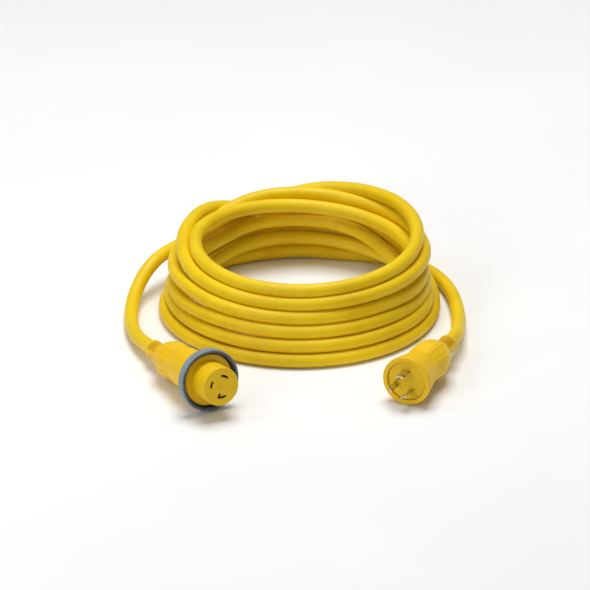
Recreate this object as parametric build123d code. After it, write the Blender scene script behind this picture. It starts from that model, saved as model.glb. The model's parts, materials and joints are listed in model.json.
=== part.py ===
from build123d import *
import math
import os

# 30 A, 125 V shore power cord, coiled on a flat surface.  Millimetres, +Z up.
# The origin is the centre of the coil's bottom turn, on the surface that the coil lies on.

# ---- driving dimensions -------------------------------------------------------------------
CORD_DIA = 17.5              # heavy three-conductor jacket
RUN_SHARE = 0.45             # share of the shorter run that an arc of the cord may use
STRAIGHT_EXIT = 51.5         # first run of each lead, along the axis of its end
JACKET_PLAY = 0.1            # all round the jacket, inside a strain relief
SEAT_PLAY = 0.05             # all round a moulded face in its grip

# Places of the two ends: a point on the axis, the heading from -Y towards +X, and the pitch.
CONNECTOR_AT = (-107.8, -283.8, 39.6)      # middle of the sealing ring
CONNECTOR_HEADING = 29.0
CONNECTOR_PITCH = 7.5
PLUG_AT = (127.9, -271.0, 31.0)            # middle of the plug's face rim
PLUG_HEADING = -25.5
PLUG_PITCH = 1.5

# Blades and slots: angle on the plug's face, and half of the arc that each one covers.
# The connector's slots are the plug's mirror image, turned to how the connector lies.
BLADES = {"line": (298.0, 19.0), "neutral": (203.0, 16.0), "ground": (91.0, 22.0)}
CONNECTOR_TURN = 361.0
BLADE_CIRCLE_R = 13.2
BLADE_HALF_T = 0.8
BLADE_LENGTH = 19.0
TAB_REACH = 3.4              # the ground blade's inward tab
SLOT_PLAY = 0.45
MOUTH_STEP = 0.2             # fine steps that widen each slot at the nose's face
MOUTH_STEPS = 3
TIP_STEP = 0.25              # fine steps that narrow each blade's tip
TIP_STEPS = 2

# Connector, along its own axis: z = 0 is the middle of the sealing ring, +z is the nose.
NOSE_R = 23.5
NOSE_ROOT_R = 24.4           # low step round the nose that the gasket fits over
NOSE_END = 33.0
NOSE_EDGE = 1.6
FLANGE_R = 31.5
FLANGE_FRONT = -0.2
FLANGE_BACK = -2.5
SPIGOT_R = 21.0
SPIGOT_END = -12.0
POCKET_END = 26.0            # pockets for the contacts stop short of the nose face
POCKET_HALF_T = 3.3
CONTACT_HALF_T = 2.9
CONTACT_GAP_HALF_T = 0.9
CONTACT_END = 25.5
CONTACT_BACK = -8.0
TERMINAL_BACK = -13.0
BARREL_R = 3.1
BARREL_BORE_R = 2.45
BARREL_LENGTH = 11.0
CAVITY_R = 18.5              # wiring space inside each grip
CAVITY_CONE = 29.0           # length over which that space narrows to the grip's tail
TAIL_WALL = 6.0
CONNECTOR_GRIP_END = -119.0
CONNECTOR_BOOT_END = -147.0
GRIP_R = 24.7
STOP_BEAD_R = 27.4           # bead on the grip that stops the ring as it slides back
STOP_BEAD_FRONT = -14.6
STOP_BEAD_BACK = -17.6

RING_R = 38.0
RING_BORE_R = 33.0
RING_LIP_R = 26.6
RING_HALF_LENGTH = 6.0
RING_LIP_FRONT = -4.2
RING_RIBS = 60
RIB_GROOVE_R = 0.8
WASHER_FRONT = -2.85
WASHER_BACK = -3.85
WASHER_R = 32.4
WASHER_BORE_R = 25.4
GASKET_R = 31.0
GASKET_FRONT = 1.0

# Plug, along its own axis: z = 0 is the face rim, +z is where the blades point.
PLUG_RIM_R = 30.5
PLUG_RECESS_R = 24.4
PLUG_RECESS_DEPTH = 1.8
PLUG_INSERT_LEDGE = -8.0
PLUG_INSERT_END = -18.0
PLUG_TERMINAL_BACK = -22.0
PLUG_GRIP_END = -101.0
PLUG_BOOT_END = -128.0

WIRE_R = 2.35
WIRE_CIRCLE_R = 4.4          # where the insulated wires lie inside the jacket
WIRE_INSERT = 9.0            # how far a wire goes into its barrel
WIRE_HOLE_R = 7.2            # hole in a grip's tail, which the jacket's end stands against

BOOT_FRONT_R = 11.2
BOOT_END_R = 10.2
BOOT_GROOVES = 4
BOOT_GROOVE_DEPTH = 0.8

FLUTES = 8                   # recessed finger panels round each grip
FLUTE_R = 5.0
FLUTE_DEPTH = 0.9


# ---- small helpers ------------------------------------------------------------------------
def axis_place(at, heading, pitch):
    """Location whose local +Z is a level heading from -Y towards +X, tipped up by pitch."""
    h = math.radians(heading)
    p = math.radians(pitch)
    forward = Vector(math.sin(h) * math.cos(p), -math.cos(h) * math.cos(p), math.sin(p))
    side = Vector(math.cos(h), math.sin(h), 0)
    return Plane(origin=at, x_dir=side, z_dir=forward).location


def turned(corners):
    """Solid of revolution about Z from a list of (radius, z) corners."""
    outline = Polyline(*[(r, 0, z) for r, z in corners], close=True)
    return revolve(make_face(outline), Axis.Z)


def turned_body(front, curve, inside):
    """Solid of revolution: straight front corners, a smooth curve, then corners back inside."""
    straight = Polyline(*[(r, 0, z) for r, z in front + curve[:1]])
    smooth = Spline(*[(r, 0, z) for r, z in curve])
    back = Polyline(*[(r, 0, z) for r, z in curve[-1:] + inside + front[:1]])
    return revolve(make_face(straight.edges() + smooth.edges() + back.edges()), Axis.Z)


def disc(r, z_low, z_high):
    rod = Cylinder(r, z_high - z_low, align=(Align.CENTER, Align.CENTER, Align.MIN))
    return Pos(0, 0, z_low) * rod


def arc_block(middle, half_arc, half_t, z_low, z_high):
    """Block that follows the blade circle, half_t thick each way, centred on an angle."""
    width = 2 * half_t
    upright = Plane.XZ * Rectangle(width, z_high - z_low)
    section = Pos(BLADE_CIRCLE_R, 0, (z_low + z_high) / 2) * upright
    return Rot(0, 0, middle - half_arc) * revolve(section, Axis.Z, 2 * half_arc)


def arc_tab(end_angle, half_t, z_low, z_high):
    """Inward tab at the end of an arc block."""
    outer = BLADE_CIRCLE_R + half_t
    length = TAB_REACH + 2 * half_t
    block = Box(length, 2 * half_t, z_high - z_low, align=(Align.MAX, Align.MAX, Align.MIN))
    return Rot(0, 0, end_angle) * Pos(outer * math.cos(math.radians(3)), 0, z_low) * block


def on_circle(angle, r, z):
    a = math.radians(angle)
    return (r * math.cos(a), r * math.sin(a), z)


def smooth_path(points):
    """Straight runs joined by the largest tangent arcs that the runs allow."""
    spots = [Vector(*p) for p in points]
    radii = []
    for before, here, after in zip(spots, spots[1:], spots[2:]):
        turn = math.radians((here - before).get_angle(after - here))
        shorter = min((here - before).length, (after - here).length)
        radii.append(RUN_SHARE * shorter / math.tan(turn / 2))
    return FilletPolyline(*spots, radius=radii), radii


def round_tube(points, diameter):
    path, radii = smooth_path(points)
    start = Plane(origin=path @ 0, z_dir=path % 0)
    return sweep(start * Circle(diameter / 2), path=path), path.length, radii


# ---- the cord -----------------------------------------------------------------------------
# Section of the coil at eight places round it: (radius, height) corners, from the inner foot
# round the outside and over the top to the inner wall.
COIL_SECTIONS = {
    -90: [(160, 0), (178, 0), (178, 14), (160, 46), (143, 86), (137, 94), (127, 94), (123, 84), (140, 46)],
    -45: [(161, 0), (179, 0), (179, 14), (166, 44), (158, 78), (148, 99), (136, 99), (131, 88), (144, 46)],
    0: [(162, 0), (180, 0), (181, 14), (171, 46), (170, 84), (157, 105), (144, 105), (140, 94), (150, 46)],
    45: [(161, 0), (179, 0), (180, 20), (176, 50), (181, 84), (177, 110), (163, 110), (138, 80), (148, 44)],
    90: [(160, 0), (178, 0), (178, 30), (178, 60), (193, 88), (186, 99), (150, 91), (139, 82), (152, 58)],
    135: [(161, 0), (179, 0), (178, 28), (178, 48), (191, 64), (172, 101), (140, 97), (133, 86), (150, 58)],
    180: [(162, 0), (180, 0), (180, 14), (171, 42), (166, 66), (152, 95), (130, 101), (123, 90), (148, 50)],
    225: [(160, 0), (178, 0), (178, 14), (166, 44), (156, 70), (138, 95), (126, 95), (121, 86), (140, 50)],
}
STEPS_PER_SECTION = 3

# Corners of each lead's route, from behind its end to where it has joined the coil.
CONNECTOR_LEAD_ROUTE = [
    (-205.5, -86.0, 10.5),
    (-210.5, -38.0, 9.0),
    (-208.5, 8.0, 15.0),
    (-198.0, 43.0, 29.0),
    (-180.0, 70.0, 42.5),
    (-156.0, 103.0, 55.0),
    (-113.0, 133.0, 69.0),
]
PLUG_LEAD_ROUTE = [
    (197.5, -83.0, 14.0),
    (200.0, -36.0, 9.0),
    (197.5, 13.0, 8.8),
    (188.5, 60.0, 8.8),
    (169.0, 103.0, 8.8),
    (137.0, 136.0, 8.8),
    (98.0, 153.0, 8.8),
    (56.0, 160.0, 8.8),
]


def coil_section(step):
    """Face across the coil, blended between the two nearest of its eight sections."""
    nearest, part = divmod(step, STEPS_PER_SECTION)
    angles = list(COIL_SECTIONS)
    here = COIL_SECTIONS[angles[nearest % 8]]
    after = COIL_SECTIONS[angles[(nearest + 1) % 8]]
    share = part / STEPS_PER_SECTION
    round_angle = angles[0] + 45 * step / STEPS_PER_SECTION
    corners = []
    for (r0, z0), (r1, z1) in zip(here, after):
        corners.append(on_circle(round_angle, r0 + share * (r1 - r0), z0 + share * (z1 - z0)))
    return make_face(Polyline(*corners, close=True))


def cord_coil():
    """Closed ring with the outer shape of the loose turns, made as two halves."""
    half = 4 * STEPS_PER_SECTION
    first = loft([coil_section(step) for step in range(half + 1)], ruled=True)
    second = loft([coil_section(step) for step in range(half, 2 * half + 1)], ruled=True)
    return first + second


def cord_lead(place, jacket_end, route, coil, name):
    """Free lead from the jacket's end in a grip to the coil, where it meets the coil's surface."""
    start = (place * Pos(0, 0, jacket_end)).position
    first = (place * Pos(0, 0, jacket_end - STRAIGHT_EXIT)).position
    whole, length, radii = round_tube([tuple(start), tuple(first)] + route, CORD_DIA)
    expected = math.pi * CORD_DIA ** 2 / 4 * length
    print(name, "radii", [round(r) for r in radii], "length", round(length))
    print(name, "volume / (section x length)", round(whole.volume / expected, 4))
    return whole - coil


# ---- pieces that both ends have -------------------------------------------------------------
def strain_relief(z_front, z_end):
    """Ribbed tapering sleeve round the jacket, behind a grip."""
    bore = CORD_DIA / 2 + JACKET_PLAY
    sleeve = turned([(bore, z_end), (BOOT_END_R, z_end), (BOOT_FRONT_R, z_front), (bore, z_front)])
    pitch = (z_front - z_end) / (BOOT_GROOVES + 1)
    for i in range(1, BOOT_GROOVES + 1):
        z = z_front - i * pitch
        r = BOOT_FRONT_R - (BOOT_FRONT_R - BOOT_END_R) * i / (BOOT_GROOVES + 1)
        sleeve -= Pos(0, 0, z) * Torus(r + BOOT_GROOVE_DEPTH, 2 * BOOT_GROOVE_DEPTH)
    return sleeve


def flutes(surface_r, z_low, z_high):
    """Round-ended cutters that leave shallow finger panels in a grip of that radius."""
    rod = disc(FLUTE_R, z_low, z_high) + Pos(0, 0, z_low) * Sphere(FLUTE_R) + Pos(0, 0, z_high) * Sphere(FLUTE_R)
    reach = surface_r + FLUTE_R - FLUTE_DEPTH
    return [Rot(0, 0, 360 * i / FLUTES) * Pos(reach, 0, 0) * rod for i in range(FLUTES)]


def wiring_space(grip_end):
    """Inner corners of a grip, from the wire hole in its tail to its full inner width."""
    wall_front = grip_end + TAIL_WALL
    return [(WIRE_HOLE_R, grip_end), (WIRE_HOLE_R, wall_front), (CAVITY_R, wall_front + CAVITY_CONE)]


def terminal_barrel(angle, z_front):
    """Tube behind a contact or blade that grips the end of its wire."""
    x, y, _ = on_circle(angle, BLADE_CIRCLE_R, 0)
    barrel = Pos(x, y, 0) * disc(BARREL_R, z_front - BARREL_LENGTH, z_front)
    bore = Pos(x, y, 0) * disc(BARREL_BORE_R, z_front - BARREL_LENGTH, z_front - 1.5)
    return barrel, bore


def wire(angle, jacket_end, barrel_front):
    """Insulated wire from the end of the jacket to the inside of its barrel."""
    wire_end = barrel_front - BARREL_LENGTH + WIRE_INSERT
    straight = 12.0
    bend_low = jacket_end + straight
    bend_high = barrel_front - BARREL_LENGTH - straight
    route = [
        on_circle(angle, WIRE_CIRCLE_R, jacket_end),
        on_circle(angle, WIRE_CIRCLE_R, bend_low),
        on_circle(angle, BLADE_CIRCLE_R, bend_high),
        on_circle(angle, BLADE_CIRCLE_R, wire_end),
    ]
    return round_tube(route, 2 * WIRE_R)[0]


# ---- the connector --------------------------------------------------------------------------
def connector_slot_angle(name):
    return CONNECTOR_TURN - BLADES[name][0]


def connector_grip():
    front = [(SPIGOT_R + SEAT_PLAY, FLANGE_FRONT), (FLANGE_R, FLANGE_FRONT), (FLANGE_R, FLANGE_BACK)]
    front += [(GRIP_R, FLANGE_BACK), (GRIP_R, STOP_BEAD_FRONT), (STOP_BEAD_R, STOP_BEAD_FRONT)]
    front += [(STOP_BEAD_R, STOP_BEAD_BACK), (GRIP_R, STOP_BEAD_BACK)]
    curve = [(GRIP_R, -46), (24.4, -57), (22.2, -71), (24.2, -86), (21.8, -100), (16, -112), (11.4, -119)]
    inside = wiring_space(CONNECTOR_GRIP_END) + [(CAVITY_R, SPIGOT_END), (SPIGOT_R + SEAT_PLAY, SPIGOT_END)]
    body = turned_body(front, curve, inside)
    return body - flutes(24.0, -95, -66)


def connector_slot(name, play, z_low, z_high):
    """Mirror image of a blade's bar, turned to how the connector lies."""
    return Rot(0, 0, CONNECTOR_TURN) * mirror(plug_blade_bar(name, play, z_low, z_high), Plane.XZ)


def connector_nose():
    nose = turned([
        (0, SPIGOT_END), (SPIGOT_R, SPIGOT_END), (SPIGOT_R, FLANGE_FRONT),
        (NOSE_ROOT_R, FLANGE_FRONT), (NOSE_ROOT_R, GASKET_FRONT), (NOSE_R, GASKET_FRONT),
        (NOSE_R, NOSE_END), (0, NOSE_END),
    ])
    nose = fillet(nose.edges().filter_by(GeomType.CIRCLE).sort_by(Axis.Z)[-1], NOSE_EDGE)
    for name, (_, half_arc) in BLADES.items():
        pocket_arc = half_arc + 8
        nose -= arc_block(connector_slot_angle(name), pocket_arc, POCKET_HALF_T, SPIGOT_END - 1, POCKET_END)
        nose -= connector_slot(name, SLOT_PLAY, POCKET_END - 1, NOSE_END + 1)
        for step in range(1, MOUTH_STEPS + 1):
            depth = MOUTH_STEP * (MOUTH_STEPS + 1 - step)
            nose -= connector_slot(name, SLOT_PLAY + MOUTH_STEP * step, NOSE_END - depth, NOSE_END + 1)
    return nose - disc(1.6, NOSE_END - 0.6, NOSE_END + 1)


def connector_contact(name):
    """Double-leaf contact behind a slot: the blade goes into the gap between the leaves."""
    angle = connector_slot_angle(name)
    half_arc = BLADES[name][1] + 4
    leaves = arc_block(angle, half_arc, CONTACT_HALF_T, CONTACT_BACK, CONTACT_END)
    leaves -= arc_block(angle, half_arc + 2, CONTACT_GAP_HALF_T, CONTACT_BACK, CONTACT_END + 1)
    back = arc_block(angle, half_arc, CONTACT_HALF_T, TERMINAL_BACK, CONTACT_BACK)
    barrel, bore = terminal_barrel(angle, TERMINAL_BACK)
    return leaves + back + barrel - bore


def sealing_ring():
    """Locking ring: threaded bore in front, shown at its crest radius, and a lip behind."""
    ring = turned([
        (RING_BORE_R, RING_HALF_LENGTH), (RING_R - 0.8, RING_HALF_LENGTH), (RING_R, RING_HALF_LENGTH - 0.8),
        (RING_R, 0.8 - RING_HALF_LENGTH), (RING_R - 0.8, -RING_HALF_LENGTH), (RING_LIP_R, -RING_HALF_LENGTH),
        (RING_LIP_R, RING_LIP_FRONT), (RING_BORE_R, RING_LIP_FRONT),
    ])
    groove = disc(RIB_GROOVE_R, -RING_HALF_LENGTH - 1, RING_HALF_LENGTH + 1)
    reach = RING_R + RIB_GROOVE_R / 3
    grooves = [Rot(0, 0, 360 * i / RING_RIBS) * Pos(reach, 0, 0) * groove for i in range(RING_RIBS)]
    return ring - grooves


def ring_slip_washer():
    return disc(WASHER_R, WASHER_BACK, WASHER_FRONT) - disc(WASHER_BORE_R, WASHER_BACK, WASHER_FRONT)


def sealing_gasket():
    return disc(GASKET_R, FLANGE_FRONT, GASKET_FRONT) - disc(NOSE_ROOT_R, FLANGE_FRONT, GASKET_FRONT)


# ---- the plug -------------------------------------------------------------------------------
def plug_grip():
    front = [(PLUG_RECESS_R, PLUG_INSERT_LEDGE), (PLUG_RECESS_R, -0.5), (PLUG_RECESS_R + 0.5, 0)]
    front += [(PLUG_RIM_R - 1.2, 0), (PLUG_RIM_R, -1.2)]
    curve = [(PLUG_RIM_R, -5.5), (29.2, -11), (25.9, -29), (23.2, -46), (24.6, -58), (25.0, -70)]
    curve += [(23.2, -80), (19.3, -90), (14.8, -97), (11.4, PLUG_GRIP_END)]
    inside = wiring_space(PLUG_GRIP_END) + [(CAVITY_R, PLUG_INSERT_END)]
    inside += [(SPIGOT_R + SEAT_PLAY, PLUG_INSERT_END), (SPIGOT_R + SEAT_PLAY, PLUG_INSERT_LEDGE)]
    body = turned_body(front, curve, inside)
    return body - flutes(24.6, -80, -42)


def plug_face_insert():
    face_r = PLUG_RECESS_R - SEAT_PLAY
    insert = disc(face_r, PLUG_INSERT_LEDGE, -PLUG_RECESS_DEPTH)
    insert += disc(SPIGOT_R, PLUG_INSERT_END, PLUG_INSERT_LEDGE)
    for name, (angle, half_arc) in BLADES.items():
        insert -= plug_blade_bar(name, SEAT_PLAY, PLUG_INSERT_END - 1, 1)
    return insert - disc(1.6, -PLUG_RECESS_DEPTH - 0.6, 0)


def plug_blade_bar(name, play, z_low, z_high):
    """Curved bar of a blade's section, grown by play, with the tab on the ground blade."""
    angle, half_arc = BLADES[name]
    more_arc = math.degrees(play / BLADE_CIRCLE_R)
    bar = arc_block(angle, half_arc + more_arc, BLADE_HALF_T + play, z_low, z_high)
    if name == "ground":
        bar += arc_tab(angle + half_arc + more_arc, BLADE_HALF_T + play, z_low, z_high)
    return bar


def plug_blade(name):
    """Bright curved blade with a wide terminal and a wire barrel behind the face."""
    angle, half_arc = BLADES[name]
    blade = arc_block(angle, half_arc + 4, CONTACT_HALF_T, PLUG_TERMINAL_BACK, PLUG_INSERT_END)
    for step in range(TIP_STEPS + 1):
        tip = BLADE_LENGTH - (TIP_STEPS - step) * TIP_STEP
        blade += plug_blade_bar(name, -step * TIP_STEP, PLUG_INSERT_END, tip)
    barrel, bore = terminal_barrel(angle, PLUG_TERMINAL_BACK)
    return blade + barrel - bore


# ---- assembly -------------------------------------------------------------------------------
connector_place = axis_place(CONNECTOR_AT, CONNECTOR_HEADING, CONNECTOR_PITCH)
plug_place = axis_place(PLUG_AT, PLUG_HEADING, PLUG_PITCH)

coil = cord_coil()
parts = {
    "cord_coil": coil,
    "cord_lead_connector": cord_lead(
        connector_place, CONNECTOR_GRIP_END, CONNECTOR_LEAD_ROUTE, coil, "cord_lead_connector"),
    "cord_lead_plug": cord_lead(plug_place, PLUG_GRIP_END, PLUG_LEAD_ROUTE, coil, "cord_lead_plug"),
}

connector_parts = {
    "connector_grip": connector_grip(),
    "connector_nose": connector_nose(),
    "connector_strain_relief": strain_relief(CONNECTOR_GRIP_END, CONNECTOR_BOOT_END),
    "sealing_ring": sealing_ring(),
    "ring_slip_washer": ring_slip_washer(),
    "sealing_gasket": sealing_gasket(),
}
plug_parts = {
    "plug_grip": plug_grip(),
    "plug_face_insert": plug_face_insert(),
    "plug_strain_relief": strain_relief(PLUG_GRIP_END, PLUG_BOOT_END),
}
for name, (blade_angle, _) in BLADES.items():
    slot_angle = connector_slot_angle(name)
    connector_parts["connector_contact_" + name] = connector_contact(name)
    connector_parts["connector_wire_" + name] = wire(slot_angle, CONNECTOR_GRIP_END, TERMINAL_BACK)
    plug_parts["plug_blade_" + name] = plug_blade(name)
    plug_parts["plug_wire_" + name] = wire(blade_angle, PLUG_GRIP_END, PLUG_TERMINAL_BACK)

for name, solid in connector_parts.items():
    parts[name] = connector_place * solid
for name, solid in plug_parts.items():
    parts[name] = plug_place * solid

os.makedirs("parts", exist_ok=True)
for name, solid in parts.items():
    export_step(solid, os.path.join("parts", name + ".step"))
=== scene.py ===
import json
import math

import bpy
import numpy as np
from mathutils import Matrix, Vector


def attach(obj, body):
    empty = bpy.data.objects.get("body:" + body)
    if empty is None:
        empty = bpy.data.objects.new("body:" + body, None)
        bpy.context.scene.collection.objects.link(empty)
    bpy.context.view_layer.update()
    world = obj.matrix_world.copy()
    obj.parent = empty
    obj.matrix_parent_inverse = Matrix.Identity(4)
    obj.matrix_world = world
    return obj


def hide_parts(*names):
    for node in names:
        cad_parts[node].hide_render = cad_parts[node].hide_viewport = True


# A 30 A shore power cord, coiled on a pale floor.  Metres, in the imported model's frame.
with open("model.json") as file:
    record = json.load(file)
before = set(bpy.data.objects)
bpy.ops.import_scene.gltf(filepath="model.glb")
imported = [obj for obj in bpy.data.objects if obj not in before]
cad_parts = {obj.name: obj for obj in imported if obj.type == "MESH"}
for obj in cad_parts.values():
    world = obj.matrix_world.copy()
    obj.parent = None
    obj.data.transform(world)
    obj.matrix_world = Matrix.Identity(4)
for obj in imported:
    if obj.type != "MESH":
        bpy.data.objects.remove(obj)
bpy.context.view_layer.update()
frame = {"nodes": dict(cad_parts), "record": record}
record = frame["record"]

MM = 0.001


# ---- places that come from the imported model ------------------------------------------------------
def axis_matrix(origin, forward):
    """Matrix whose local +Z is the axis of an end, with local +X level and +Y on top."""
    forward = Vector(forward).normalized()
    side = Vector((-forward.y, forward.x, 0)).normalized()
    top = forward.cross(side)
    matrix = Matrix((side, top, forward)).transposed().to_4x4()
    matrix.translation = Vector(origin)
    return matrix


mounts = {mount["name"]: mount for mount in record["mounts"]}
joints = {joint["name"]: joint for joint in record["behaviour"]["joints"]}
ring_spin = joints["ring_spin"]
blades_mount = mounts["plug_blades"]

PLUG_RECESS = 1.8 * MM                       # the plug's blades leave its face this far behind the rim
connector_place = axis_matrix(ring_spin["pos_m"], ring_spin["axis"])
plug_face_place = axis_matrix(blades_mount["pos_m"], blades_mount["axis"])
plug_place = plug_face_place @ Matrix.Translation((0, 0, PLUG_RECESS))

ROOT_BODY = "cord_and_ends"
RING_BODY = "ring"


# ---- camera --------------------------------------------------------------------------------------
CAMERA_ELEVATION = 24.5                      # degrees
CAMERA_DISTANCE = 5.0
CAMERA_LENS = 242.2                          # millimetres, for a sensor 36 mm wide
CAMERA_SHIFT = (-0.0066, 0.0160)


def make_camera():
    """Long lens looking down at the coil from in front."""
    elevation = math.radians(CAMERA_ELEVATION)
    data = bpy.data.cameras.new("camera")
    data.sensor_width = 36.0
    data.lens = CAMERA_LENS
    data.shift_x, data.shift_y = CAMERA_SHIFT
    data.clip_end = 100.0
    camera = bpy.data.objects.new("camera", data)
    bpy.context.scene.collection.objects.link(camera)
    target = Vector((0, 0, CORD_DIAMETER / 2))
    offset = Vector((0, -math.cos(elevation), math.sin(elevation))) * CAMERA_DISTANCE
    camera.location = target + offset
    camera.rotation_euler = (-offset).to_track_quat("-Z", "Y").to_euler()
    bpy.context.scene.camera = camera


# ---- the cord ------------------------------------------------------------------------------------
CORD_DIAMETER = 17.5 * MM
POINTS_PER_TURN = 16
STRAIGHT_EXIT = 51.5 * MM                    # each lead runs this far along its end's axis

# Where the grips and the strain reliefs end, in millimetres along each end's axis.
CONNECTOR_GRIP_Z = -119
CONNECTOR_RELIEF_Z = -147
PLUG_GRIP_Z = -101
PLUG_RELIEF_Z = -128

# Each lead's route in metres, from behind its end to the coil.
CONNECTOR_LEAD_ROUTE = [
    (-0.2055, -0.086, 0.0105),
    (-0.2105, -0.038, 0.009),
    (-0.2085, 0.008, 0.015),
    (-0.198, 0.043, 0.029),
    (-0.180, 0.070, 0.0425),
    (-0.156, 0.103, 0.0435),
]
PLUG_LEAD_ROUTE = [
    (0.1975, -0.083, 0.014),
    (0.200, -0.036, 0.009),
    (0.1975, 0.013, 0.0088),
    (0.1885, 0.060, 0.0088),
    (0.169, 0.103, 0.0088),
    (0.137, 0.136, 0.0088),
    (0.098, 0.153, 0.0088),
    (0.056, 0.160, 0.0088),
]

# Where the cord is as it winds down in an uneven coil: clockwise seen from above, so that the
# azimuth falls by 360 in each turn.  (azimuth in degrees, radius, height of its centre)
TURNS = [
    # from the back left over the top to the right side
    (135, 0.183, 0.047), (112.5, 0.187, 0.057), (90, 0.184, 0.089), (67.5, 0.180, 0.099),
    (45, 0.171, 0.1025), (22.5, 0.159, 0.101),
    # top row in front
    (0, 0.1495, 0.097), (-45, 0.141, 0.091), (-90, 0.132, 0.0855), (-135, 0.130, 0.087),
    (-180, 0.132, 0.092), (-225, 0.142, 0.088), (-247.5, 0.145, 0.086), (-270, 0.148, 0.082),
    (-292.5, 0.148, 0.079), (-315, 0.149, 0.0755), (-337.5, 0.1495, 0.0715),
    # third row in front
    (-360, 0.158, 0.058), (-405, 0.151, 0.0575), (-450, 0.1468, 0.0555), (-495, 0.151, 0.0595),
    (-517.5, 0.154, 0.063), (-540, 0.1585, 0.0585), (-562.5, 0.165, 0.064),
    (-585, 0.157, 0.0785), (-607.5, 0.162, 0.0915), (-630, 0.167, 0.0925),
    (-652.5, 0.169, 0.0875), (-675, 0.1675, 0.084), (-697.5, 0.163, 0.0815),
    # second row in front
    (-720, 0.160, 0.0795), (-765, 0.149, 0.076), (-787.5, 0.144, 0.0735), (-810, 0.1394, 0.0708),
    (-855, 0.141, 0.0737), (-877.5, 0.144, 0.0775), (-900, 0.147, 0.0855),
    (-922.5, 0.155, 0.090), (-945, 0.166, 0.0935), (-967.5, 0.179, 0.070), (-990, 0.183, 0.057),
    (-1012.5, 0.178, 0.056), (-1035, 0.170, 0.0495), (-1057.5, 0.166, 0.044),
    # fourth row in front
    (-1080, 0.160, 0.037), (-1125, 0.157, 0.0415), (-1170, 0.154, 0.040), (-1215, 0.157, 0.0432),
    (-1260, 0.160, 0.040), (-1282.5, 0.156, 0.044), (-1305, 0.152, 0.048),
    (-1327.5, 0.162, 0.0565), (-1350, 0.166, 0.0555), (-1372.5, 0.161, 0.0545),
    (-1395, 0.150, 0.0435), (-1417.5, 0.149, 0.027),
    # on the floor inside the others, hidden from in front
    (-1440, 0.149, 0.0125), (-1485, 0.150, 0.00875), (-1530, 0.150, 0.00875),
    (-1575, 0.149, 0.00875), (-1620, 0.148, 0.00875), (-1642.5, 0.150, 0.012),
    (-1665, 0.155, 0.022), (-1687.5, 0.164, 0.029), (-1710, 0.167, 0.0305),
    (-1732.5, 0.164, 0.0285), (-1755, 0.161, 0.025), (-1777.5, 0.163, 0.024),
    # fifth row in front
    (-1800, 0.165, 0.0238), (-1845, 0.164, 0.0255), (-1890, 0.1616, 0.0245),
    (-1935, 0.162, 0.0258), (-1980, 0.163, 0.0245), (-2002.5, 0.170, 0.0245),
    (-2025, 0.178, 0.0245), (-2047.5, 0.182, 0.0325), (-2070, 0.183, 0.0375),
    (-2092.5, 0.1825, 0.034), (-2115, 0.181, 0.026), (-2137.5, 0.178, 0.016),
    # bottom row in front
    (-2160, 0.172, 0.00875), (-2205, 0.170, 0.00875), (-2250, 0.169, 0.00875),
    (-2295, 0.169, 0.00875), (-2340, 0.171, 0.00875), (-2385, 0.171, 0.00875),
    (-2407.5, 0.168, 0.0092), (-2430, 0.168, 0.0108),
]


def smooth_values(known_at, values, wanted_at):
    """Values between known ones, on a cubic curve that passes through each of them."""
    slopes = np.gradient(values, known_at)
    last = len(known_at) - 2
    i = np.clip(np.searchsorted(known_at, wanted_at, side="right") - 1, 0, last)
    gap = known_at[i + 1] - known_at[i]
    u = (wanted_at - known_at[i]) / gap
    share = u * u * (3 - 2 * u)
    between = values[i] * (1 - share) + values[i + 1] * share
    return between + gap * u * (1 - u) * (slopes[i] * (1 - u) - slopes[i + 1] * u)


def coil_points():
    """Control points of the coil's turns, evenly spaced round it and never below the floor."""
    azimuth, radius, height = np.array(TURNS, float).T
    travelled = -azimuth
    steps = np.arange(travelled[0], travelled[-1] + 0.01, 360 / POINTS_PER_TURN)
    radii = smooth_values(travelled, radius, steps)
    heights = smooth_values(travelled, height, steps)
    points = []
    for step, r, z in zip(steps, radii, heights):
        angle = math.radians(-step)
        points.append((r * math.cos(angle), r * math.sin(angle), max(z, CORD_DIAMETER / 2)))
    return points


def lead_points(place, jacket_end, route):
    """Control points of a free lead, starting on the axis of its end."""
    start = place @ Vector((0, 0, jacket_end))
    first = place @ Vector((0, 0, jacket_end - STRAIGHT_EXIT))
    return [tuple(start), tuple(first)] + route


def make_cord():
    """The whole cord, lead to lead, as one smooth round curve."""
    connector_lead = lead_points(connector_place, CONNECTOR_GRIP_Z * MM, CONNECTOR_LEAD_ROUTE)
    plug_lead = lead_points(plug_place, PLUG_GRIP_Z * MM, PLUG_LEAD_ROUTE)
    points = connector_lead + coil_points() + plug_lead[::-1]
    data = bpy.data.curves.new("power_cord", "CURVE")
    data.dimensions = "3D"
    data.resolution_u = 8
    data.bevel_depth = CORD_DIAMETER / 2
    data.bevel_resolution = 10
    data.use_fill_caps = True
    spline = data.splines.new("NURBS")
    spline.points.add(len(points) - 1)
    for point, place in zip(spline.points, points):
        point.co = (*place, 1.0)
    spline.order_u = 3
    spline.use_endpoint_u = True
    cord = bpy.data.objects.new("power_cord", data)
    bpy.context.scene.collection.objects.link(cord)
    return cord


# ---- mesh helpers: outlines are (radius, z) in millimetres, along the axis of an end -------------
def rounded(corners, steps=5):
    """An open outline of (radius, z, edge radius) corners, each turned into a short arc."""
    outline = [corners[0][:2]]
    for before, here, after in zip(corners, corners[1:], corners[2:]):
        corner = np.array(here[:2], float)
        to_before = np.array(before[:2], float) - corner
        to_after = np.array(after[:2], float) - corner
        reach = min(here[2], 0.45 * np.linalg.norm(to_before), 0.45 * np.linalg.norm(to_after))
        start = corner + to_before / np.linalg.norm(to_before) * reach
        end = corner + to_after / np.linalg.norm(to_after) * reach
        for k in range(steps + 1):
            t = k / steps
            outline.append(tuple((1 - t) ** 2 * start + 2 * t * (1 - t) * corner + t ** 2 * end))
    outline.append(corners[-1][:2])
    return outline


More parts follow.
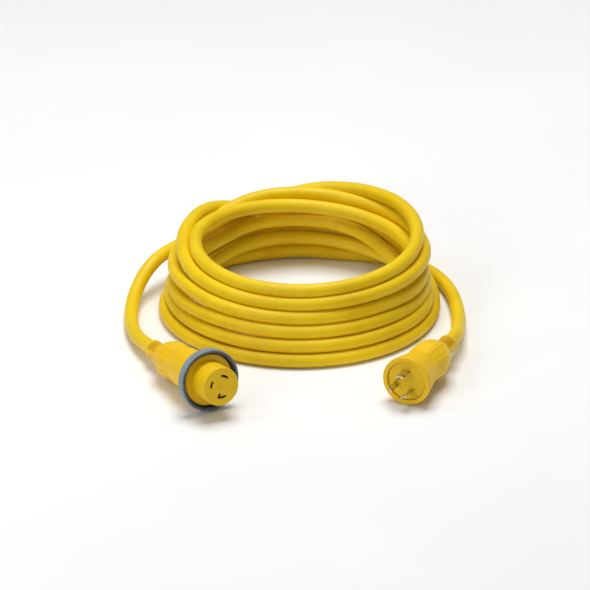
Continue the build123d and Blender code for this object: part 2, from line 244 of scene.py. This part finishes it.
def smooth_line(knots, spacing):
    """Points close together on a smooth curve through (radius, z) knots."""
    knots = np.array(knots, float)
    gaps = np.linalg.norm(np.diff(knots, axis=0), axis=1)
    along = np.concatenate([[0], np.cumsum(gaps)])
    steps = np.linspace(0, along[-1], max(2, int(along[-1] / spacing)))
    return list(zip(smooth_values(along, knots[:, 0], steps), smooth_values(along, knots[:, 1], steps)))


def straight_line(start, end, spacing):
    """Evenly spaced points between two (radius, z) places."""
    count = max(2, int(math.dist(start, end) / spacing))
    return [tuple(np.array(start) + (np.array(end) - np.array(start)) * k / count) for k in range(1, count)]


def mesh_piece(name, verts, faces, sharp_angle):
    """Smooth-shaded mesh object with sharp edges past an angle in degrees."""
    mesh = bpy.data.meshes.new(name)
    mesh.from_pydata([tuple(v) for v in verts], [], faces)
    mesh.update()
    mesh.shade_smooth()
    mesh.set_sharp_from_angle(angle=math.radians(sharp_angle))
    piece = bpy.data.objects.new(name, mesh)
    bpy.context.scene.collection.objects.link(piece)
    return piece


def lathe(name, outline, place, segments=192, shape=None, sharp_angle=42):
    """Closed mesh turned about an end's axis.  shape(angle, r, z) may change the radius."""
    verts = []
    for k in range(segments):
        angle = 2 * math.pi * k / segments
        for r, z in outline:
            radius = shape(angle, r, z) if shape else r
            verts.append(place @ (Vector((radius * math.cos(angle), radius * math.sin(angle), z)) * MM))
    count = len(outline)
    faces = []
    for k in range(segments):
        here = k * count
        there = ((k + 1) % segments) * count
        for j in range(count):
            after = (j + 1) % count
            faces.append((here + j, there + j, there + after, here + after))
    return mesh_piece(name, verts, faces, sharp_angle)


def ease(low, high, value):
    """0 below low, 1 above high and smooth between."""
    t = min(max((value - low) / (high - low), 0.0), 1.0)
    return t * t * (3 - 2 * t)


# ---- shapes of the pieces of both ends -----------------------------------------------------------
CORD_RADIUS = CORD_DIAMETER / 2 / MM
CAVITY_R = 18.5              # wiring space inside each grip
SEAT_R = 21.05               # bore that holds each hard face
TAIL_BORE_R = 7.2
TAIL_R = 11.4
GRIP_R = 24.7
GRIP_PANELS = 8
RING_R = 38.0
RING_BORE_R = 33.0
RING_RIBS = 60
RIB_DEPTH = 0.55
THREAD_PITCH = 3.0
THREAD_DEPTH = 0.9
THREAD_HALF_LENGTH = 3.0


def finger_panels(z_low, z_high, depth, half_arc):
    """Shape of a grip with shallow panels sunk into it, rounded at their ends."""
    pitch = 360 / GRIP_PANELS
    middle = (z_low + z_high) / 2
    half_length = (z_high - z_low) / 2

    def shape(angle, r, z):
        in_the_cavity = r < CAVITY_R + 0.5 and z > z_low + 3
        if in_the_cavity:
            return r
        off = (math.degrees(angle) + pitch / 2) % pitch - pitch / 2
        away = (abs(off / half_arc) ** 4 + abs((z - middle) / half_length) ** 6) ** 0.2
        return r - depth * (1 - ease(0.84, 1.0, away))

    return shape


def slit_sleeve(z_first, pitch, count, depth, half_width):
    """Shape of a strain relief: short slits across its top and bottom."""

    def shape(angle, r, z):
        nearest = min(max(round((z_first - z) / pitch), 0), count - 1)
        off = abs(z - (z_first - nearest * pitch))
        groove = 1 - ease(half_width * 0.55, half_width, off)
        if r < CORD_RADIUS + 0.6:
            return r
        return r - depth * groove * ease(0.20, 0.45, abs(math.sin(angle)))

    return shape


def ribbed_ring(angle, r, z):
    """Ribs on the ring's outer wall and a screw thread on its inner one."""
    if r > RING_R - 1:
        wave = math.cos(angle * RING_RIBS)
        return r - RIB_DEPTH * ease(0.1, 0.85, wave)
    if abs(r - RING_BORE_R) < 0.1:
        turn = (z / THREAD_PITCH - angle / (2 * math.pi)) % 1.0
        return r + THREAD_DEPTH * ease(0.25, 0.5, abs(turn - 0.5))
    return r


# ---- pieces of both ends -------------------------------------------------------------------------
def make_strain_relief(name, place, z_front, z_end):
    """Tapering sleeve round the jacket with a flared tail and short slits."""
    bore = CORD_RADIUS + 0.15
    length = z_front - z_end
    outside = smooth_line([
        (11.8, z_front), (11.6, z_front - 0.30 * length), (11.2, z_front - 0.62 * length),
        (11.7, z_front - 0.84 * length), (11.5, z_end + 1.2), (10.3, z_end),
    ], 0.3)
    outline = outside + [(bore, z_end), (bore, z_front)]
    slits = slit_sleeve(z_front - 0.17 * length, 0.18 * length, 4, 2.1, 1.5)
    return lathe(name, outline, place, 144, slits)


def make_connector_body():
    """Connector's grip: flange, stop bead for the ring, waist and swell, and tail."""
    front = rounded([
        (21.1, -0.2), (31.5, -0.2, 0.5), (31.5, -2.5, 0.4), (GRIP_R, -2.5, 0.3), (GRIP_R, -14.6, 0.5),
        (27.4, -14.6, 0.8), (27.4, -17.6, 0.8), (GRIP_R, -17.6, 0.8), (GRIP_R, -30),
    ])
    back = smooth_line([
        (GRIP_R, -30), (GRIP_R, -46), (24.4, -57), (22.2, -71), (24.2, -86), (21.8, -100), (16, -112),
        (TAIL_R, CONNECTOR_GRIP_Z),
    ], 0.5)
    inside = [
        (TAIL_BORE_R, CONNECTOR_GRIP_Z), (TAIL_BORE_R, CONNECTOR_GRIP_Z + 6), (CAVITY_R, -84),
        (CAVITY_R, -12), (SEAT_R, -12),
    ]
    panels = finger_panels(-103, -60, 1.0, 16)
    return lathe("connector_body", front + back[1:] + inside, connector_place, 288, panels)


def make_plug_body():
    """Plug's grip: rounded rim, cone, swell and tail."""
    front = rounded([(24.4, -8), (24.4, 0, 0.9), (30.5, 0, 1.3), (30.5, -3.2)])
    back = smooth_line([
        (30.5, -3.2), (30.4, -5.5), (29.2, -11), (25.9, -29), (23.2, -46), (24.6, -58), (25.0, -70),
        (23.2, -80), (19.3, -90), (14.8, -97), (TAIL_R, PLUG_GRIP_Z),
    ], 0.5)
    inside = [
        (TAIL_BORE_R, PLUG_GRIP_Z), (TAIL_BORE_R, PLUG_GRIP_Z + 6), (CAVITY_R, -66),
        (CAVITY_R, -18), (SEAT_R, -18), (SEAT_R, -8),
    ]
    panels = finger_panels(-84, -36, 0.8, 16)
    return lathe("plug_body", front + back[1:] + inside, plug_place, 288, panels)


def make_lock_ring():
    """Locking ring: ribbed wall, flared mouth, threaded bore and the lip behind it."""
    walls = rounded([
        (RING_BORE_R, THREAD_HALF_LENGTH), (RING_BORE_R, 3.9, 0.3), (35.2, 6.0, 0.4), (37.3, 6.0, 0.3),
        (RING_R, 5.3, 0.4), (RING_R, -5.3, 0.4), (37.3, -6.0, 0.4), (26.7, -6.0, 0.5), (26.7, -4.2, 0.3),
        (RING_BORE_R, -4.2, 0.3), (RING_BORE_R, -THREAD_HALF_LENGTH),
    ])
    thread_front = (RING_BORE_R, THREAD_HALF_LENGTH)
    thread_back = (RING_BORE_R, -THREAD_HALF_LENGTH)
    thread = straight_line(thread_back, thread_front, 0.12)
    return lathe("lock_ring", walls + thread, connector_place, 720, ribbed_ring)


# ---- materials -----------------------------------------------------------------------------------
def linear(red, green, blue):
    """Scene-linear colour from 0 to 255 screen values."""

    def channel(value):
        value /= 255
        return value / 12.92 if value <= 0.04045 else ((value + 0.055) / 1.055) ** 2.4

    return (channel(red), channel(green), channel(blue), 1.0)


class Shader:
    """A Principled material with short calls for the nodes that it needs."""

    def __init__(self, name, roughness, **sockets):
        self.material = bpy.data.materials.new(name)
        self.material.use_nodes = True
        self.tree = self.material.node_tree
        self.surface = self.tree.nodes["Principled BSDF"]
        self.surface.inputs["Roughness"].default_value = roughness
        for socket, value in sockets.items():
            self.surface.inputs[socket.replace("_", " ")].default_value = value
        self.place = self.tree.nodes.new("ShaderNodeTexCoord").outputs["Object"]

    def link(self, output, target):
        self.tree.links.new(output, target)

    def stretched(self, scale, source=None):
        """Coordinates scaled by three numbers."""
        node = self.tree.nodes.new("ShaderNodeMapping")
        node.inputs["Scale"].default_value = scale
        self.link(source or self.place, node.inputs["Vector"])
        return node.outputs["Vector"]

    def noise(self, scale, detail=3.0, rough=0.55, source=None):
        """Cloudy values near 0.5, with features of about 1 / scale metres."""
        node = self.tree.nodes.new("ShaderNodeTexNoise")
        node.inputs["Scale"].default_value = scale
        node.inputs["Detail"].default_value = detail
        node.inputs["Roughness"].default_value = rough
        self.link(source or self.place, node.inputs["Vector"])
        return node.outputs["Fac"]

    def vector_math(self, operation, first, second=None):
        node = self.tree.nodes.new("ShaderNodeVectorMath")
        node.operation = operation
        self.link(first, node.inputs[0])
        if second is not None:
            node.inputs[1].default_value = second
        return node.outputs["Value" if operation in ("LENGTH", "DOT_PRODUCT") else "Vector"]

    def off_axis(self, place):
        """Distance from the axis of an end, in metres."""
        offset = self.vector_math("SUBTRACT", self.place, tuple(place.translation))
        crossed = self.vector_math("CROSS_PRODUCT", offset, tuple(place.col[2][:3]))
        return self.vector_math("LENGTH", crossed)

    def along_axis(self, place):
        """Distance along the axis of an end, in metres."""
        offset = self.vector_math("SUBTRACT", self.place, tuple(place.translation))
        return self.vector_math("DOT_PRODUCT", offset, tuple(place.col[2][:3]))

    def times(self, first, second):
        """Product of two outputs."""
        node = self.tree.nodes.new("ShaderNodeMath")
        node.operation = "MULTIPLY"
        self.link(first, node.inputs[0])
        self.link(second, node.inputs[1])
        return node.outputs["Value"]

    def ramp(self, source, low, high, low_value=0.0, high_value=1.0):
        """Values from low to high spread over low_value to high_value, with smooth ends."""
        node = self.tree.nodes.new("ShaderNodeMapRange")
        node.interpolation_type = "SMOOTHSTEP"
        node.inputs["From Min"].default_value = low
        node.inputs["From Max"].default_value = high
        node.inputs["To Min"].default_value = low_value
        node.inputs["To Max"].default_value = high_value
        self.link(source, node.inputs["Value"])
        return node.outputs["Result"]

    def mix(self, share, first, second):
        """Colour between two others.  Each one is a colour or another node's output."""
        node = self.tree.nodes.new("ShaderNodeMix")
        node.data_type = "RGBA"
        self.link(share, node.inputs["Factor"])
        for socket, colour in (("A", first), ("B", second)):
            target = next(entry for entry in node.inputs if entry.name == socket and entry.type == "RGBA")
            if isinstance(colour, tuple):
                target.default_value = colour
            else:
                self.link(colour, target)
        return next(entry for entry in node.outputs if entry.type == "RGBA")

    def colour(self, output):
        self.link(output, self.surface.inputs["Base Color"])

    def roughness(self, output):
        self.link(output, self.surface.inputs["Roughness"])

    def bump(self, *layers):
        """Bump from (height output, distance in metres) layers, one on top of another."""
        normal = None
        for height, distance in layers:
            node = self.tree.nodes.new("ShaderNodeBump")
            node.inputs["Distance"].default_value = distance
            self.link(height, node.inputs["Height"])
            if normal:
                self.link(normal, node.inputs["Normal"])
            normal = node.outputs["Normal"]
        self.link(normal, self.surface.inputs["Normal"])


def cord_jacket():
    """Yellow vinyl jacket: soft sheen, faint lengthwise draw marks and scuffs."""
    shader = Shader("cord_jacket", 0.42, Specular_IOR_Level=0.32)
    clouds = shader.ramp(shader.noise(16, 4), 0.32, 0.68)
    colour = shader.mix(clouds, linear(230, 193, 0), linear(240, 206, 3))
    scuffs = shader.ramp(shader.noise(75, 6, 0.65), 0.60, 0.74, 0.0, 0.30)
    colour = shader.mix(scuffs, colour, linear(206, 158, 2))
    shader.colour(colour)
    shader.roughness(shader.ramp(shader.noise(48, 5), 0.3, 0.7, 0.36, 0.54))
    uv = shader.tree.nodes.new("ShaderNodeTexCoord").outputs["UV"]
    marks = shader.noise(1.0, 3, 0.6, shader.stretched((60, 90, 1), uv))
    shader.bump((marks, 0.00010), (shader.noise(1400, 2), 0.00003))
    return shader.material


def moulded_yellow(name, light, dark, roughness, grain, painted_recess_shade=()):
    """Moulded end, more orange than the cord: fine grain, flow marks, light handling wear and painted shade
    in recesses.
    Each entry of painted recess shade is a share, an end's place and (measure, unshaded at, fully shaded
    at) limits."""
    shader = Shader(name, roughness, Specular_IOR_Level=0.32)
    flow = shader.ramp(shader.noise(26, 4), 0.3, 0.7)
    colour = shader.mix(flow, light, dark)
    wear = shader.ramp(shader.noise(120, 6, 0.7), 0.60, 0.76, 0.0, 0.28)
    colour = shader.mix(wear, colour, linear(200, 145, 4))
    # Painted shade: each entry darkens the moulding towards dark brown in a recess where shade falls.
    for share, place, limits in painted_recess_shade:
        amount = None
        for measure, unshaded_at, full_shade_at in limits:
            distance = shader.off_axis(place) if measure == "off axis" else shader.along_axis(place)
            within = shader.ramp(distance, unshaded_at, full_shade_at)
            amount = shader.times(amount, within) if amount else within
        colour = shader.mix(shader.ramp(amount, 0.0, 1.0, 0.0, share), colour, linear(96, 58, 4))
    shader.colour(colour)
    shader.roughness(shader.ramp(shader.noise(70, 4), 0.3, 0.7, roughness - 0.06, roughness + 0.10))
    shader.bump((shader.noise(2600, 2), grain), (shader.noise(180, 3), grain * 2))
    return shader.material


def ring_plastic():
    """Blue-grey moulded ring with paler rubbed patches, a painted highlight on its ribbed outer wall and
    painted shade in its mouth and bore.
    """
    shader = Shader("ring_plastic", 0.38, Specular_IOR_Level=0.5)
    patches = shader.ramp(shader.noise(60, 4), 0.35, 0.65)
    colour = shader.mix(patches, linear(66, 84, 92), linear(94, 112, 120))
    rubbed = shader.ramp(shader.noise(150, 5, 0.7), 0.58, 0.72, 0.0, 0.6)
    colour = shader.mix(rubbed, colour, linear(168, 180, 184))
    distance = shader.off_axis(connector_place)
    # Painted highlight: the outer ribbed wall paler towards the rib crests.
    rib_painted_highlight = shader.ramp(distance, 0.0368, 0.0379, 0.0, 0.36)
    colour = shader.mix(rib_painted_highlight, colour, linear(190, 204, 208))
    # Painted shade: the mouth and threaded bore darkened to near black.
    mouth_painted_shade = shader.ramp(distance, 0.0353, 0.0335, 0.0, 0.8)
    colour = shader.mix(mouth_painted_shade, colour, linear(24, 30, 34))
    shader.colour(colour)
    shader.roughness(shader.ramp(shader.noise(90, 4), 0.3, 0.7, 0.30, 0.48))
    shader.bump((shader.noise(2200, 2), 0.00003))
    return shader.material


def plain_plastic(name, light, dark, roughness):
    """Small moulded piece with slight tone changes and grain."""
    shader = Shader(name, roughness)
    shader.colour(shader.mix(shader.ramp(shader.noise(90, 4), 0.3, 0.7), light, dark))
    shader.roughness(shader.ramp(shader.noise(160, 3), 0.3, 0.7, roughness - 0.07, roughness + 0.07))
    shader.bump((shader.noise(2000, 2), 0.00003))
    return shader.material


def metal(name, light, dark, roughness):
    """Plated or brass sheet with lengthwise rolling marks and tarnish."""
    shader = Shader(name, roughness, Metallic=1.0)
    tarnish = shader.ramp(shader.noise(210, 5, 0.65), 0.42, 0.68)
    shader.colour(shader.mix(tarnish, light, dark))
    shader.roughness(shader.ramp(shader.noise(320, 4), 0.3, 0.7, roughness - 0.06, roughness + 0.12))
    shader.bump((shader.noise(900, 3), 0.00004))
    return shader.material


def pale_floor():
    """Plain matt floor with very faint tone changes."""
    shader = Shader("pale_floor", 0.85, Specular_IOR_Level=0.2)
    tone = shader.ramp(shader.noise(3, 3), 0.3, 0.7)
    shader.colour(shader.mix(tone, (0.90, 0.90, 0.90, 1.0), (0.92, 0.92, 0.92, 1.0)))
    return shader.material


# ---- stage and light -----------------------------------------------------------------------------
COIL_MIDDLE = Vector((0, 0, 0.05))


def make_floor():
    """Floor far wider than the camera's view."""
    half = 6.0
    verts = [(-half, -half, 0), (half, -half, 0), (half, half, 0), (-half, half, 0)]
    floor = mesh_piece("floor", verts, [(0, 1, 2, 3)], 30)
    floor.data.materials.append(pale_floor())


def make_area_light(name, place, size, watts):
    """Soft rectangular light that faces the coil."""
    data = bpy.data.lights.new(name, "AREA")
    data.shape = "RECTANGLE"
    data.size, data.size_y = size
    data.energy = watts
    light = bpy.data.objects.new(name, data)
    bpy.context.scene.collection.objects.link(light)
    light.location = place
    light.rotation_euler = (COIL_MIDDLE - Vector(place)).to_track_quat("-Z", "Y").to_euler()


def make_lights():
    """Large overhead light, two weak ones from the left and a dim white surround."""
    make_area_light("overhead", (0.1, 0.5, 3.2), (1.9, 1.8), 89)
    make_area_light("left_key", (-1.5, -0.2, 1.9), (0.7, 0.7), 5)
    make_area_light("front_left", (-1.4, -1.9, 0.9), (0.9, 0.7), 12)
    world = bpy.data.worlds.new("studio")
    world.use_nodes = True
    world.node_tree.nodes["Background"].inputs["Color"].default_value = (1.0, 1.0, 1.0, 1.0)
    world.node_tree.nodes["Background"].inputs["Strength"].default_value = 0.22
    bpy.context.scene.world = world
    bpy.context.scene.view_settings.view_transform = "Standard"


# ---- assembly ------------------------------------------------------------------------------------
make_camera()
cord = make_cord()

# Painted shade: dark brown deep inside the nose's contact slots.
SLOT_PAINTED_SHADE = (0.94, connector_place, [("along axis", 0.0328, 0.0315), ("off axis", 0.0195, 0.0175)])
# Painted shade: the face insert's outer edge darkened where it sinks into the plug's seat.
SEAT_PAINTED_SHADE = (0.80, plug_place, [("along axis", -0.0015, -0.0018), ("off axis", 0.0233, 0.0241)])
# Painted shade: dark brown on the inner wall of the plug's rim, behind its mouth.
RIM_PAINTED_SHADE = (0.70, plug_place, [
    ("off axis", 0.0252, 0.0246), ("along axis", -0.0004, -0.0012), ("along axis", -0.012, -0.009)])
# Painted shade: dark brown at the bottoms of the strain reliefs' slits and round their tails.
RELIEF_PAINTED_SHADE = [(0.75, place, [("off axis", 0.0108, 0.0097)]) for place in (connector_place, plug_place)]
GRIP_YELLOW = moulded_yellow("grip_yellow", linear(243, 199, 10), linear(236, 186, 6), 0.46, 0.00004,
                             [RIM_PAINTED_SHADE] + RELIEF_PAINTED_SHADE)
FACE_LIGHT = linear(238, 196, 8)
FACE_DARK = linear(229, 184, 4)
NOSE_YELLOW = moulded_yellow("nose_yellow", FACE_LIGHT, FACE_DARK, 0.52, 0.00003, [SLOT_PAINTED_SHADE])
FACE_YELLOW = moulded_yellow("face_yellow", FACE_LIGHT, FACE_DARK, 0.52, 0.00003, [SEAT_PAINTED_SHADE])
PLATED = metal("plated_blade", (0.80, 0.76, 0.70, 1.0), (0.24, 0.18, 0.12, 1.0), 0.18)
CONTACT_BRASS = metal("contact_brass", (0.83, 0.62, 0.27, 1.0), (0.62, 0.42, 0.16, 1.0), 0.30)
NODE_MATERIALS = {
    "connector_nose": NOSE_YELLOW,
    "sealing_gasket": NOSE_YELLOW,
    "plug_face_insert": FACE_YELLOW,
    "ring_slip_washer": plain_plastic("slip_washer", linear(205, 203, 195), linear(188, 186, 178), 0.5),
}
WIRE_MATERIALS = {
    "line": plain_plastic("wire_black", linear(28, 28, 28), linear(40, 38, 36), 0.45),
    "neutral": plain_plastic("wire_white", linear(228, 226, 220), linear(212, 209, 200), 0.45),
    "ground": plain_plastic("wire_green", linear(24, 122, 52), linear(18, 104, 42), 0.45),
}
for conductor, insulation in WIRE_MATERIALS.items():
    NODE_MATERIALS["connector_wire_" + conductor] = insulation
    NODE_MATERIALS["plug_wire_" + conductor] = insulation
    NODE_MATERIALS["connector_contact_" + conductor] = CONTACT_BRASS
    NODE_MATERIALS["plug_blade_" + conductor] = PLATED
for node, finish in NODE_MATERIALS.items():
    for slot in frame["nodes"][node].material_slots:
        slot.material = finish

connector_body = make_connector_body()
connector_relief = make_strain_relief(
    "connector_relief", connector_place, CONNECTOR_GRIP_Z, CONNECTOR_RELIEF_Z)
plug_body = make_plug_body()
plug_relief = make_strain_relief("plug_relief", plug_place, PLUG_GRIP_Z, PLUG_RELIEF_Z)
PIECES = [
    (cord, cord_jacket(), ROOT_BODY, ["cord_coil", "cord_lead_connector", "cord_lead_plug"], "cord_jacket"),
    (connector_body, GRIP_YELLOW, ROOT_BODY, ["connector_grip"], "yellow_grip"),
    (connector_relief, GRIP_YELLOW, ROOT_BODY, ["connector_strain_relief"], "yellow_grip"),
    (plug_body, GRIP_YELLOW, ROOT_BODY, ["plug_grip"], "yellow_grip"),
    (plug_relief, GRIP_YELLOW, ROOT_BODY, ["plug_strain_relief"], "yellow_grip"),
    (make_lock_ring(), ring_plastic(), RING_BODY, ["sealing_ring"], "grey_ring"),
]
for piece, finish, body, replaced, slot in PIECES:
    piece.data.materials.append(finish)
    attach(piece, body)
    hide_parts(*replaced)

plug_pieces = [plug_body, plug_relief, frame["nodes"]["plug_face_insert"]]
plug_pieces += [frame["nodes"]["plug_blade_" + conductor] for conductor in WIRE_MATERIALS]

make_floor()
make_lights()
